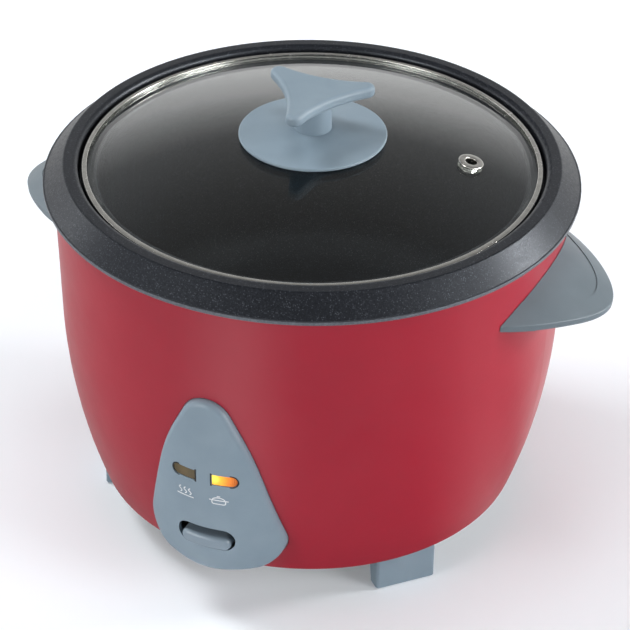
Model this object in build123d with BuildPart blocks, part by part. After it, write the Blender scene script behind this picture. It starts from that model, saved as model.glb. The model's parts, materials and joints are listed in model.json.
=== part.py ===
"""Rice cooker with a lift-out pot, a glass lid and a magnetic cook switch.

Millimetres, +Z up. The origin is on the floor under the middle of the body and the
control panel faces -Y.
"""

import os
from math import asin, atan, cos, degrees, radians, sin, sqrt, tan

from build123d import *

os.makedirs("parts", exist_ok=True)

# Clearances
fit_gap = 0.2
seat_gap = 0.3
slide_gap = 0.4
press_gap = 0.05

# Outer shell: a steep tapered wall over a wide belly curve
foot_height = 21
shell_wall = 1.2
shell_height = 156.5
shell_top_radius = 124.9
wall_taper = 1.66
belly_rise = 90.4
belly_radius = 300
shell_lip_width = 11.5
shell_foot_width = 3.5
shell_bottom_bend = 3
shell_top_bend = 2.2

# Inner pot with its wide coned flange and rolled lip
pot_wall = 1.8
pot_corner = 22
ledge_width = 9.9
flange_rise = 12.5
crest_bend = 2.5
crest_edge_bend = 1.2
crest_width = 7.1
lip_overhang = 5.1
crest_inset = 10
lip_drop = 11.8
lip_height = 2.2
lip_width = 3.2
lip_bend = 0.8
lip_edge = 0.35
ledge_bend = 1.2
ledge_under_bend = 1.6
sheet_bend = 0.6
lid_ledge_drop = 8.5

# Lid
rim_width = 2.8
rim_height = 5.8
rim_sheet = 0.8
rim_bend = 1.1
rim_gap = 1.4
glass_wall = 4
glass_land = 2.2
dome_rise = 16.6
vent_inset = 30
vent_angle = 12.7
vent_bore = 2.9
vent_tube = 4
vent_flange = 6.2
vent_flange_height = 1.2
vent_flange_round = 0.7

# Lid knob
skirt_radius = 35.7
skirt_edge = 1.8
skirt_edge_round = 0.7
skirt_dip = 0.36
skirt_land_radius = 10.5
skirt_land_rise = 2.6
neck_radius = 9
neck_height = 14.8
grip_height = 6
grip_lobe_radius = 4.2
grip_reach = 29.7
grip_waist = 13.5
grip_turn = 32.7
grip_round = 2.2
knob_screw_radius = 2.4
knob_screw_head = 6
knob_screw_head_height = 2.2
knob_screw_length = 16
glass_hole_gap = 1.2
washer_radius = 9
washer_height = 1.5

# Liner between the pot and the shell
liner_wall = 0.8
liner_gap = 2.7
liner_flange_width = 10.5
liner_corner = 6
liner_lip_bend = 1
liner_floor_hole = 24
base_space = 28.3

# Base plate, posts and feet
base_wall = 1.5
base_edge_gap = 0.7
vent_slot_length = 16
vent_slot_width = 4
vent_slot_radius = 45
vent_slot_count = 12
vent_slot_turn = 15
post_radius = 4.5
post_inset = 25
post_turn = 60
foot_width = 31
foot_depth = 7
foot_top_depth = 11
foot_turn = -38.1
foot_lean = -7
foot_round = 1.6
foot_edge = 0.8
foot_screw_inset = 14.5
foot_screw_reach = 18.2
foot_pad = 9
foot_counterbore = 4.5
foot_counterbore_depth = 9
screw_radius = 1.9
screw_head = 3.5
screw_head_height = 2.2
screw_grip = 10
head_round = 0.3

# Heating plate and element
plate_inset = 1
plate_height = 11.2
plate_edge = 2
plate_screw_depth = 7
spacer_height = 6
spacer_radius = 5
spacer_inset = 12
element_inset = 25
element_radius = 4
element_arc = 300
terminal_radius = 2
terminal_length = 14.5
terminal_hole = 5
band_height = 18
band_wall = 1.5
band_rise = 48

# Thermostat
sensor_radius = 16.6
sensor_wall = 0.8
sensor_roof_wall = 1
sensor_height = 7.7
sensor_guide = 0.8
ferrite_radius = 6.5
ferrite_height = 6
magnet_radius = 9.2
magnet_height = 7
magnet_gap = 2.4
magnet_edge = 0.5
magnet_guide = 0.8
rod_radius = 2.4
housing_wall = 1.2
housing_depth = 10.8
housing_top = 2.7
housing_flange = 26
housing_flange_wall = 1.5
small_screw = 1.5
small_screw_head = 2.7
small_screw_head_height = 1.8
sensor_spring_radius = 13.6
sensor_spring_wire = 0.6
release_spring_radius = 8
release_spring_wire = 0.5
spring_turns = 5

# Control panel: a rounded shield, bowed across, that stands proud of the belly
panel_wall = 2.5
panel_round = 3.2
panel_tuck = 3
panel_gap = 0.3
panel_stand = 6.75
panel_crown_rise = 68.2
panel_profile_radius = 584
panel_bow_radius = 50
panel_apex_rise = 120.6
panel_apex_round = 12.7
panel_side_x = 22.5
panel_side_rise = 76.7
panel_side_round = 120
panel_corner_x = 38.6
panel_corner_rise = 11.5
panel_corner_round = 16
panel_chin_rise = 6
panel_chin_round = 60
lens_width = 12
lens_height = 5.5
lens_spread = 10.4
lens_rise = 63.7
lens_flange = 1
lens_flange_wall = 1.2
lens_sink = 0.3
lens_cut = 1
lamp_radius = 1.5
lamp_length = 9
lamp_round = 0.9
board_width = 27
board_height = 30
board_wall = 1.6
board_space = 10.5
board_round = 2
boss_radius = 3
boss_spread = 11
boss_pilot = 1.25
fine_screw = 1.2
fine_screw_head = 2.4

# Cook switch
slot_width = 29.5
slot_height = 12.5
slot_round = 6
slot_rise = 27.5
button_width = 25
button_height = 7.2
button_round = 3.4
button_depth = 13
button_proud = 1.4
button_edge = 2.2
button_rest_gap = 0.35
button_drop = 6.7
stem_wall = 2.5
stem_depth = 6.5
lever_width = 10
lever_wall = 2
lever_pivot = 50
lever_tail = 5
lever_grip = 5
hub_radius = 4.5
hub_length = 15
pin_radius = 2
pin_overhang = 2
pin_edge = 0.4
ear_wall = 1.5
ear_gap = 0.7
ear_half = 8
ear_top = 5.5
bracket_wall = 1.5
bracket_length = 42
bracket_width = 26
bracket_lead = 12
bracket_round = 3
bracket_screw_lead = 4
bracket_screw_trail = 8
ear_bend = 1
switch_width = 10
switch_length = 22
switch_height = 7.2
switch_reach = 30
switch_round = 1
switch_terminal = 5
terminal_step = 2.5
terminal_wall = 0.8
terminal_height = 3.5
terminal_drop = 2.5
plunger_radius = 1.6
plunger_length = 5.6
plunger_round = 0.5
tab_half = 4
tab_reach = 17
tab_margin = 0.6

# Handles
handle_reach = 29
handle_half = 48.2
handle_shoulder_reach = 15.6
handle_shoulder_half = 26.2
handle_drop = 14.5
handle_height = 16
handle_tilt = 7
handle_tip_edge = 2.4
handle_root_edge = 3
handle_wall = 2.6
handle_rib = 10
handle_edge = 0.8
handle_dish_tip = 9
handle_dish_side = 12
handle_dish_depth = 0.35
handle_screw_drop = 10.5
handle_screw_spread = 18

# Appliance inlet at the back
inlet_width = 36
inlet_height = 25
inlet_round = 4
inlet_proud = 11
inlet_edge = 1
inlet_depth = 25.5
socket_width = 26
socket_height = 16
socket_depth = 17
socket_round = 3
blade_width = 4
blade_wall = 2
blade_reach = 13
blade_tail = 6
blade_spread = 7
blade_step = 3.5
blade_edge = 0.4
inlet_ear_width = 10
inlet_ear_depth = 8
inlet_ear_height = 4

# Thermal fuse and wiring
fuse_radius = 2.4
fuse_length = 14
fuse_round = 0.8
fuse_x = 33
fuse_y = 20
clip_wall = 0.8
clip_width = 8
clip_wing = 4
wire_radius = 1.1
wire_bend = 6
wire_lead = 16
live_side = 22
live_turn = 34
live_rise = 4
terminal_run = 12
heater_run = 18
heater_drop = 10
earth_lead = 20

# Levels worked out from the driving sizes
shell_bottom = foot_height
shell_top = shell_bottom + shell_height
crest = shell_top + flange_rise
base_bottom = shell_bottom + shell_wall
base_top = base_bottom + base_wall
liner_floor = base_top + base_space
liner_floor_top = liner_floor + liner_wall
plate_bottom = liner_floor_top + spacer_height
plate_top = plate_bottom + plate_height
pot_bottom = plate_top + seat_gap
pot_floor = pot_bottom + pot_wall
lid_ledge = crest - lid_ledge_drop

# Radii from the shell's top edge inwards
lip_radius = shell_top_radius + lip_overhang
crest_outer_radius = lip_radius - crest_inset
crest_inner_radius = crest_outer_radius - crest_width
rim_outer_radius = crest_inner_radius - rim_gap
rim_inner_radius = rim_outer_radius - rim_width
glass_bend_radius = rim_inner_radius - glass_land
vent_radius = glass_bend_radius - vent_inset
pot_radius = crest_inner_radius - ledge_width
pot_outer_radius = pot_radius + pot_wall
liner_radius = pot_outer_radius + liner_gap
liner_outer_radius = liner_radius + liner_wall
plate_radius = pot_radius - pot_corner - plate_inset
spacer_circle = plate_radius - spacer_inset
element_circle = plate_radius - element_inset

# Belly curve: its centre lies inside the body, tangent to the tapered wall
taper = radians(wall_taper)
belly_start = shell_bottom + belly_rise
belly_start_radius = shell_top_radius - (shell_top - belly_start) * tan(taper)
belly_centre_radius = belly_start_radius - belly_radius * cos(taper)
belly_centre = belly_start + belly_radius * sin(taper)


def wall_radius(z, depth=0.0):
    """Radius of the shell at a height, a depth below its outer face."""
    if z >= belly_centre - (belly_radius - depth) * sin(taper):
        return shell_top_radius - (shell_top - z) * tan(taper) - depth / cos(taper)
    return belly_centre_radius + sqrt((belly_radius - depth) ** 2 - (belly_centre - z) ** 2)


def wall_curve(depth, top, bottom):
    """Edges of the shell's side line from a top height down to a bottom height."""
    bend = belly_centre - (belly_radius - depth) * sin(taper)
    middle = (bend + bottom) / 2
    straight = Line((wall_radius(top, depth), top), (wall_radius(bend, depth), bend))
    curve = ThreePointArc(
        straight @ 1, (wall_radius(middle, depth), middle), (wall_radius(bottom, depth), bottom)
    )
    return straight, curve


def shell_core(depth, reach=12):
    """Solid filling the shell's outline, a depth below its outer face."""
    high = shell_top + reach
    low = shell_bottom - reach
    with BuildPart() as core:
        with BuildSketch(Plane.XZ):
            with BuildLine():
                straight, curve = wall_curve(depth, high, low)
                Polyline(curve @ 1, (0, low), (0, high), straight @ 0)
            make_face()
        revolve(axis=Axis.Z)
    return core.part


def turned(points, radii):
    """Solid of revolution about Z with its section's corners rounded."""
    with BuildPart() as solid:
        with BuildSketch(Plane.XZ):
            with BuildLine():
                FilletPolyline(*points, radius=radii, close=True)
            make_face()
        revolve(axis=Axis.Z)
    return solid.part


def screw(radius, length, head_radius, head_height):
    """Screw with its head's seat at the origin and its shank along +Z."""
    with BuildPart() as body:
        Cylinder(radius, length, align=(Align.CENTER, Align.CENTER, Align.MIN))
        with Locations((0, 0, -head_height)):
            Cylinder(head_radius, head_height, align=(Align.CENTER, Align.CENTER, Align.MIN))
        fillet(body.faces().sort_by(Axis.Z)[0].edges(), head_height * head_round)
    return body.part


def screws(seats, radius, length, head_radius, head_height):
    """Group of equal screws, one on each seat."""
    one = screw(radius, length, head_radius, head_height)
    with BuildPart() as group:
        with Locations(*seats):
            add(one)
    return group.part


def polar(radius, angle):
    """Point in plan."""
    return (radius * cos(radians(angle)), radius * sin(radians(angle)))


def ring_seats(radius, start, z, facing_up=True):
    """Three screw seats on a circle, facing up or down."""
    turn = (0, 0, 0) if facing_up else (180, 0, 0)
    return [Location((*polar(radius, start + step), z), turn) for step in (0, 120, 240)]


# Outer shell with windows for the panel and the inlet
shell_lip_radius = shell_top_radius - shell_lip_width
bottom_radius = wall_radius(shell_bottom)
shell_foot_radius = bottom_radius - shell_foot_width
panel_apex = shell_bottom + panel_apex_rise
panel_side = shell_bottom + panel_side_rise
panel_corner = shell_bottom + panel_corner_rise
panel_chin = shell_bottom + panel_chin_rise
panel_points = [
    (0, panel_apex),
    (panel_side_x, panel_side),
    (panel_corner_x, panel_corner),
    (0, panel_chin),
    (-panel_corner_x, panel_corner),
    (-panel_side_x, panel_side),
]
panel_radii = [
    panel_apex_round,
    panel_side_round,
    panel_corner_round,
    panel_chin_round,
    panel_corner_round,
    panel_side_round,
]


def panel_prism(grow):
    """Panel outline grown by a distance and carried straight out to the front."""
    with BuildPart() as prism:
        with BuildSketch(Plane.XZ.offset(shell_foot_radius / 2)):
            with BuildLine():
                FilletPolyline(*panel_points, radius=panel_radii, close=True)
            make_face()
            if grow:
                offset(amount=grow, kind=Kind.ARC)
        extrude(amount=shell_top_radius)
    return prism.part


inlet_z = base_top + inlet_height / 2
inlet_face = bottom_radius + inlet_proud
handle_crown_z = shell_top - handle_drop
handle_screw_z = handle_crown_z - handle_screw_drop

shell_section_top = shell_top - shell_wall
shell_section_bottom = shell_bottom + shell_wall
with BuildPart() as outer_shell:
    with BuildSketch(Plane.XZ):
        with BuildLine():
            outside, outside_belly = wall_curve(0, shell_top, shell_bottom)
            inside, inside_belly = wall_curve(shell_wall, shell_section_top, shell_section_bottom)
            Polyline(
                outside_belly @ 1,
                (shell_foot_radius, shell_bottom),
                (shell_foot_radius, shell_section_bottom),
                inside_belly @ 1,
            )
            Polyline(
                inside @ 0,
                (shell_lip_radius, shell_section_top),
                (shell_lip_radius, shell_top),
                outside @ 0,
            )
        section = make_face()
        bend_points = section.vertices().group_by(Axis.Y)
        fillet(bend_points[-1].sort_by(Axis.X)[-1], shell_top_bend)
        fillet(bend_points[-2].sort_by(Axis.X)[-1], shell_top_bend - shell_wall)
        fillet(bend_points[0].sort_by(Axis.X)[-1], shell_bottom_bend)
        fillet(bend_points[1].sort_by(Axis.X)[-1], shell_bottom_bend - shell_wall)
    revolve(axis=Axis.Z)
    add(panel_prism(panel_gap), mode=Mode.SUBTRACT)
    with BuildSketch(Plane.XZ.offset(-inlet_face)):
        with Locations((0, inlet_z)):
            RectangleRounded(
                inlet_width + 2 * fit_gap, inlet_height + 2 * fit_gap, inlet_round + fit_gap
            )
    extrude(amount=inlet_depth, mode=Mode.SUBTRACT)
    with BuildSketch(Plane.YZ):
        with Locations((-handle_screw_spread, handle_screw_z), (handle_screw_spread, handle_screw_z)):
            Circle(fine_screw + fit_gap)
    extrude(amount=2 * shell_top_radius, both=True, mode=Mode.SUBTRACT)

# Base plate with cooling slots, resting on the shell's turned-in edge
base_radius = wall_radius(base_bottom, shell_wall) - base_edge_gap
foot_angles = [foot_turn, foot_turn + 120, foot_turn + 240]
foot_screw_circle = bottom_radius - foot_screw_reach
post_circle = base_radius - post_inset
bracket_front = -lever_pivot - bracket_lead
bracket_rear = bracket_front + bracket_length
bracket_screw_y = (bracket_front + bracket_screw_lead, bracket_rear - bracket_screw_trail)
inlet_back = inlet_face - inlet_depth
inlet_screw_x = (inlet_width + inlet_ear_width) / 2
inlet_screw_y = inlet_back + inlet_ear_depth / 2
with BuildPart() as base_plate:
    with BuildSketch(Plane.XY.offset(base_bottom)):
        Circle(base_radius)
        with PolarLocations(vent_slot_radius, vent_slot_count, start_angle=vent_slot_turn):
            SlotOverall(vent_slot_length, vent_slot_width, mode=Mode.SUBTRACT)
        with PolarLocations(post_circle, 3, start_angle=post_turn):
            Circle(screw_radius + fit_gap, mode=Mode.SUBTRACT)
        with PolarLocations(foot_screw_circle, 3, start_angle=foot_turn):
            Circle(screw_radius + press_gap, mode=Mode.SUBTRACT)
        with Locations(*[(0, y) for y in bracket_screw_y]):
            Circle(small_screw + press_gap, mode=Mode.SUBTRACT)
        with Locations((inlet_screw_x, inlet_screw_y), (-inlet_screw_x, inlet_screw_y)):
            Circle(small_screw + press_gap, mode=Mode.SUBTRACT)
    extrude(amount=base_wall)

# Feet: a block in front and a round boss behind it, screwed up into the base plate
feet = {}
foot_top = shell_bottom - seat_gap
for foot_name, foot_angle in zip(("foot_right", "foot_rear", "foot_left"), foot_angles):
    foot_plane = Plane(
        origin=(*polar(foot_screw_circle, foot_angle), 0),
        x_dir=(*polar(1, foot_angle + foot_lean), 0),
        z_dir=(0, 0, 1),
    )
    foot_side = Plane(origin=foot_plane.origin, x_dir=foot_plane.x_dir, z_dir=-foot_plane.y_dir)
    with BuildPart() as foot:
        with BuildSketch(foot_side):
            with BuildLine():
                Polyline(
                    (foot_screw_inset, 0),
                    (foot_screw_inset, foot_top),
                    (foot_screw_inset - foot_top_depth, foot_top),
                    (foot_screw_inset - foot_depth, 0),
                    close=True,
                )
            make_face()
        extrude(amount=foot_width / 2, both=True)
        fillet(foot.edges().filter_by(Axis.Z), foot_round)
        chamfer(foot.faces().sort_by(Axis.Z)[0].edges(), foot_edge)
        with BuildSketch(foot_plane):
            Circle(foot_pad)
        extrude(amount=base_bottom)
        with BuildSketch(foot_plane):
            Circle(screw_radius + fit_gap)
        extrude(amount=base_bottom, mode=Mode.SUBTRACT)
        with BuildSketch(foot_plane):
            Circle(foot_counterbore)
        extrude(amount=foot_counterbore_depth, mode=Mode.SUBTRACT)
    feet[foot_name] = foot.part
foot_screws = screws(
    ring_seats(foot_screw_circle, foot_turn, foot_counterbore_depth),
    screw_radius,
    base_top - foot_counterbore_depth + screw_head_height,
    screw_head,
    screw_head_height,
)

# Posts tie the base plate to the liner floor
with BuildPart() as base_posts:
    with BuildSketch(Plane.XY.offset(base_top)):
        with PolarLocations(post_circle, 3, start_angle=post_turn):
            Circle(post_radius)
            Circle(screw_radius + press_gap, mode=Mode.SUBTRACT)
    extrude(amount=base_space)
base_screws = screws(
    ring_seats(post_circle, post_turn, base_bottom),
    screw_radius,
    base_wall + screw_grip,
    screw_head,
    screw_head_height,
)
liner_screws = screws(
    ring_seats(post_circle, post_turn, liner_floor_top, facing_up=False),
    screw_radius,
    liner_wall + screw_grip,
    screw_head,
    screw_head_height,
)

# Liner: a cup that hangs by its flange on the shell's top edge
liner_flange_radius = liner_radius + liner_flange_width
liner_top = shell_top + liner_wall
terminal_angles = (90 - (360 - element_arc) / 2, 90 + (360 - element_arc) / 2)
with BuildPart() as inner_liner:
    add(
        turned(
            [
                (0, liner_floor),
                (liner_outer_radius, liner_floor),
                (liner_outer_radius, shell_top),
                (liner_flange_radius, shell_top),
                (liner_flange_radius, liner_top),
                (liner_radius, liner_top),
                (liner_radius, liner_floor_top),
                (0, liner_floor_top),
            ],
            [0, liner_corner, 0, 0, 0, liner_lip_bend, liner_corner - liner_wall, 0],
        )
    )
    with BuildSketch(Plane.XY.offset(liner_floor)):
        Circle(liner_floor_hole)
        with PolarLocations(spacer_circle, 3):
            Circle(screw_radius + fit_gap)
        with PolarLocations(post_circle, 3, start_angle=post_turn):
            Circle(screw_radius + fit_gap)
        with Locations(*[polar(element_circle, angle) for angle in terminal_angles]):
            Circle(terminal_hole)
    extrude(amount=liner_wall, mode=Mode.SUBTRACT)

# Keep-warm band wrapped round the liner
with BuildPart() as keep_warm_band:
    with BuildSketch(Plane.XY.offset(liner_floor + band_rise)):
        Circle(liner_outer_radius + fit_gap + band_wall)
        Circle(liner_outer_radius + fit_gap, mode=Mode.SUBTRACT)
    extrude(amount=band_height)

# Heating plate with a groove for the sheathed element
sensor_hole = sensor_radius + sensor_guide
housing_screw_circle = (sensor_hole + housing_flange) / 2
with BuildPart() as heating_plate:
    with BuildSketch(Plane.XY.offset(plate_bottom)):
        Circle(plate_radius)
        Circle(sensor_hole, mode=Mode.SUBTRACT)
    extrude(amount=plate_height)
    fillet(heating_plate.faces().sort_by(Axis.Z)[-1].outer_wire().edges(), plate_edge)
    with BuildSketch(Plane.XZ):
        with Locations((element_circle, plate_bottom)):
            Circle(element_radius + fit_gap)
    revolve(axis=Axis.Z, mode=Mode.SUBTRACT)
    with BuildSketch(Plane.XY.offset(plate_bottom)):
        with PolarLocations(spacer_circle, 3):
            Circle(screw_radius + press_gap)
        with PolarLocations(housing_screw_circle, 3):
            Circle(small_screw + press_gap)
    extrude(amount=plate_screw_depth + fit_gap, mode=Mode.SUBTRACT)

element_start = Plane(
    origin=(0, 0, 0),
    x_dir=(*polar(1, terminal_angles[1]), 0),
    z_dir=(*polar(1, terminal_angles[1] - 90), 0),
)
with BuildPart() as heating_element:
    with BuildSketch(element_start):
        with Locations((element_circle, plate_bottom)):
            Circle(element_radius)
    revolve(axis=Axis.Z, revolution_arc=element_arc)
    with BuildSketch(Plane.XY.offset(plate_bottom)):
        with Locations(*[polar(element_circle, angle) for angle in terminal_angles]):
            Circle(terminal_radius)
    extrude(amount=-terminal_length)

with BuildPart() as plate_spacers:
    with BuildSketch(Plane.XY.offset(liner_floor_top)):
        with PolarLocations(spacer_circle, 3):
            Circle(spacer_radius)
            Circle(screw_radius + fit_gap, mode=Mode.SUBTRACT)
    extrude(amount=spacer_height)
plate_screws = screws(
    ring_seats(spacer_circle, 0, liner_floor),
    screw_radius,
    liner_wall + spacer_height + plate_screw_depth,
    screw_head,
    screw_head_height,
)

# Inner pot: cup, lid ledge, crest, coned flange and rolled lip
lip_bottom = crest - lip_drop
lip_top = lip_bottom + lip_height
cone_run = lip_radius - lip_width / 4 - crest_outer_radius
cone_fall = crest - lip_top
cone_length = sqrt(cone_run**2 + cone_fall**2)
cone_lean = cone_run / cone_fall
under_crest = crest - pot_wall
under_shift = pot_wall * cone_length / cone_fall
under_cone_top = crest_outer_radius + pot_wall * cone_lean - under_shift
under_cone_bottom = crest_outer_radius + cone_run - under_shift
pot_section = [
    (0, pot_floor),
    (pot_radius, pot_floor),
    (pot_radius, lid_ledge),
    (crest_inner_radius, lid_ledge),
    (crest_inner_radius, crest),
    (crest_outer_radius, crest),
    (crest_outer_radius + cone_run, lip_top),
    (lip_radius, lip_top),
    (lip_radius, lip_bottom),
    (lip_radius - lip_width, lip_bottom),
    (under_cone_bottom, lip_top),
    (under_cone_top, under_crest),
    (crest_inner_radius + pot_wall, under_crest),
    (crest_inner_radius + pot_wall, lid_ledge - pot_wall),
    (pot_outer_radius, lid_ledge - pot_wall),
    (pot_outer_radius, pot_bottom),
    (0, pot_bottom),
]
pot_bends = [
    0,
    pot_corner,
    ledge_bend,
    ledge_bend,
    crest_bend,
    crest_edge_bend,
    0,
    lip_edge,
    lip_bend,
    sheet_bend,
    0,
    sheet_bend,
    sheet_bend,
    ledge_under_bend,
    sheet_bend,
    pot_corner + pot_wall,
    0,
]
with BuildPart() as inner_pot:
    add(turned(pot_section, pot_bends))

# Lid: steel channel rim round a domed glass
rim_bottom = lid_ledge + seat_gap
rim_top = rim_bottom + rim_height
with BuildPart() as lid_rim:
    add(
        turned(
            [
                (rim_inner_radius, rim_bottom),
                (rim_outer_radius, rim_bottom),
                (rim_outer_radius, rim_top),
                (rim_inner_radius, rim_top),
                (rim_inner_radius, rim_top - rim_sheet),
                (rim_outer_radius - rim_sheet, rim_top - rim_sheet),
                (rim_outer_radius - rim_sheet, rim_bottom + rim_sheet),
                (rim_inner_radius, rim_bottom + rim_sheet),
            ],
            [0, rim_bend, rim_bend, 0, 0, rim_bend - rim_sheet, rim_bend - rim_sheet, 0],
        )
    )

glass_edge_radius = rim_outer_radius - rim_sheet - seat_gap
glass_edge_bottom = rim_bottom + (rim_height - glass_wall) / 2
glass_edge_top = glass_edge_bottom + glass_wall
dome_radius = (glass_bend_radius**2 + dome_rise**2) / (2 * dome_rise)
dome_centre = glass_edge_top + dome_rise - dome_radius


def dome_height(radius, lift=0.0):
    """Height of the glass's outer face, lifted along its normal, at a plan radius."""
    return dome_centre + sqrt((dome_radius + lift) ** 2 - radius**2)


inner_bend_radius = sqrt((dome_radius - glass_wall) ** 2 - (glass_edge_bottom - dome_centre) ** 2)
glass_hole = knob_screw_radius + glass_hole_gap
vent_point = (*polar(vent_radius, vent_angle), dome_height(vent_radius))
vent_lean = asin(vent_radius / dome_radius)
vent_plane = Plane(
    origin=vent_point,
    x_dir=(-sin(radians(vent_angle)), cos(radians(vent_angle)), 0),
    z_dir=(*polar(sin(vent_lean), vent_angle), cos(vent_lean)),
)
with BuildPart() as lid_glass:
    with BuildSketch(Plane.XZ):
        with BuildLine():
            top_arc = ThreePointArc(
                (glass_hole, dome_height(glass_hole)),
                (glass_bend_radius / 2, dome_height(glass_bend_radius / 2)),
                (glass_bend_radius, glass_edge_top),
            )
            under_arc = ThreePointArc(
                (inner_bend_radius, glass_edge_bottom),
                (inner_bend_radius / 2, dome_height(inner_bend_radius / 2, -glass_wall)),
                (glass_hole, dome_height(glass_hole, -glass_wall)),
            )
            Polyline(
                top_arc @ 1,
                (glass_edge_radius, glass_edge_top),
                (glass_edge_radius, glass_edge_bottom),
                under_arc @ 0,
            )
            Line(under_arc @ 1, top_arc @ 0)
        make_face()
    revolve(axis=Axis.Z)
    with BuildSketch(vent_plane.offset(-2 * glass_wall)):
        Circle(vent_tube + seat_gap)
    extrude(amount=3 * glass_wall, mode=Mode.SUBTRACT)

with BuildPart() as vent_grommet:
    with BuildSketch(vent_plane.offset(fit_gap)):
        Circle(vent_flange)
    extrude(amount=vent_flange_height)
    fillet(vent_grommet.faces().sort_by(Axis.Z)[-1].edges(), vent_flange_round)
    with BuildSketch(vent_plane.offset(fit_gap)):
        Circle(vent_tube)
    extrude(amount=-glass_wall - 2 * fit_gap)
    with BuildSketch(vent_plane.offset(-glass_wall - fit_gap)):
        Circle(vent_flange - seat_gap)
    extrude(amount=-vent_flange_height)
    with BuildSketch(vent_plane.offset(-3 * glass_wall)):
        Circle(vent_bore)
    extrude(amount=6 * glass_wall, mode=Mode.SUBTRACT)

# Lid knob: saucer skirt, three-lobed grip on a neck, screw and washer
skirt_edge_bottom = dome_height(skirt_radius, seat_gap)
skirt_edge_top = skirt_edge_bottom + skirt_edge
skirt_land = dome_height(0, seat_gap) + skirt_land_rise
skirt_hole = knob_screw_radius + fit_gap
skirt_middle = (skirt_radius + skirt_land_radius) / 2
skirt_middle_height = skirt_edge_top + (skirt_land - skirt_edge_top) * skirt_dip
with BuildPart() as knob_skirt:
    with BuildSketch(Plane.XZ):
        with BuildLine():
            under_skirt = ThreePointArc(
                (skirt_hole, dome_height(skirt_hole, seat_gap)),
                (skirt_radius / 2, dome_height(skirt_radius / 2, seat_gap)),
                (skirt_radius, skirt_edge_bottom),
            )
            over_skirt = ThreePointArc(
                (skirt_radius, skirt_edge_top),
                (skirt_middle, skirt_middle_height),
                (skirt_land_radius, skirt_land),
            )
            Line(under_skirt @ 1, over_skirt @ 0)
            Polyline(over_skirt @ 1, (skirt_hole, skirt_land), under_skirt @ 0)
        make_face()
    revolve(axis=Axis.Z)
    skirt_edges = knob_skirt.edges().filter_by(Plane.XY).sort_by(SortBy.RADIUS)[-2:]
    fillet(skirt_edges, skirt_edge_round)

grip_bottom = skirt_land + neck_height
lobe_circle = grip_reach - grip_lobe_radius
waist_step = grip_waist - grip_lobe_radius
waist_centre = (lobe_circle**2 - waist_step**2) / (lobe_circle - 2 * waist_step)


def lobe_touch(lobe, side):
    """Point where a lobe's round tip meets the waist curve on one side of it."""
    centre = Vector(*polar(lobe_circle, lobe))
    waist = Vector(*polar(waist_centre, lobe + 60 * side))
    return centre + (waist - centre).normalized() * grip_lobe_radius


with BuildPart() as knob_grip:
    with BuildSketch(Plane.XY.offset(grip_bottom)):
        with BuildLine():
            for lobe in (grip_turn, grip_turn + 120, grip_turn + 240):
                ThreePointArc(lobe_touch(lobe, -1), polar(grip_reach, lobe), lobe_touch(lobe, 1))
                ThreePointArc(
                    lobe_touch(lobe, 1), polar(grip_waist, lobe + 60), lobe_touch(lobe + 120, -1)
                )
        make_face()
    extrude(amount=grip_height)
    fillet(knob_grip.edges().filter_by(Plane.XY), grip_round)
    with BuildSketch(Plane.XY.offset(skirt_land)):
        Circle(neck_radius)
    extrude(amount=neck_height + grip_height / 2)
    with BuildSketch(Plane.XY.offset(skirt_land)):
        Circle(knob_screw_radius + press_gap)
    extrude(amount=knob_screw_length - glass_wall, mode=Mode.SUBTRACT)

washer_top = dome_height(0, -glass_wall) - fit_gap
with BuildPart() as knob_washer:
    with BuildSketch(Plane.XY.offset(washer_top - washer_height)):
        Circle(washer_radius)
        Circle(glass_hole, mode=Mode.SUBTRACT)
    extrude(amount=washer_height)
knob_screw = screws(
    [Location((0, 0, washer_top - washer_height))],
    knob_screw_radius,
    knob_screw_length,
    knob_screw_head,
    knob_screw_head_height,
)

# Thermostat: sprung sensor cup over a magnet that the lever lifts
sensor_top = plate_top
sensor_roof = sensor_top - sensor_roof_wall
with BuildPart() as sensor_cup:
    with BuildSketch(Plane.XY.offset(sensor_top - sensor_height)):
        Circle(sensor_radius)
    extrude(amount=sensor_height)
    fillet(sensor_cup.faces().sort_by(Axis.Z)[-1].edges(), sensor_wall)
    with BuildSketch(Plane.XY.offset(sensor_top - sensor_height)):
        Circle(sensor_radius - sensor_wall)
    extrude(amount=sensor_roof - sensor_top + sensor_height, mode=Mode.SUBTRACT)

ferrite_bottom = sensor_roof - ferrite_height
with BuildPart() as sensor_ferrite:
    with BuildSketch(Plane.XY.offset(ferrite_bottom)):
        Circle(ferrite_radius)
    extrude(amount=ferrite_height)

magnet_top = ferrite_bottom - magnet_gap
magnet_bottom = magnet_top - magnet_height
with BuildPart() as thermostat_magnet:
    with BuildSketch(Plane.XY.offset(magnet_bottom)):
        Circle(magnet_radius)
    extrude(amount=magnet_height)
    chamfer(thermostat_magnet.edges(), magnet_edge)

slot_z = shell_bottom + slot_rise
button_z = slot_z - slot_height / 2 + button_rest_gap + button_height / 2
lever_z = button_z - button_drop
lever_top = lever_z + lever_wall / 2
with BuildPart() as magnet_rod:
    with BuildSketch(Plane.XY.offset(lever_top + slide_gap)):
        Circle(rod_radius)
    extrude(amount=magnet_bottom - lever_top - slide_gap)

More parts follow.
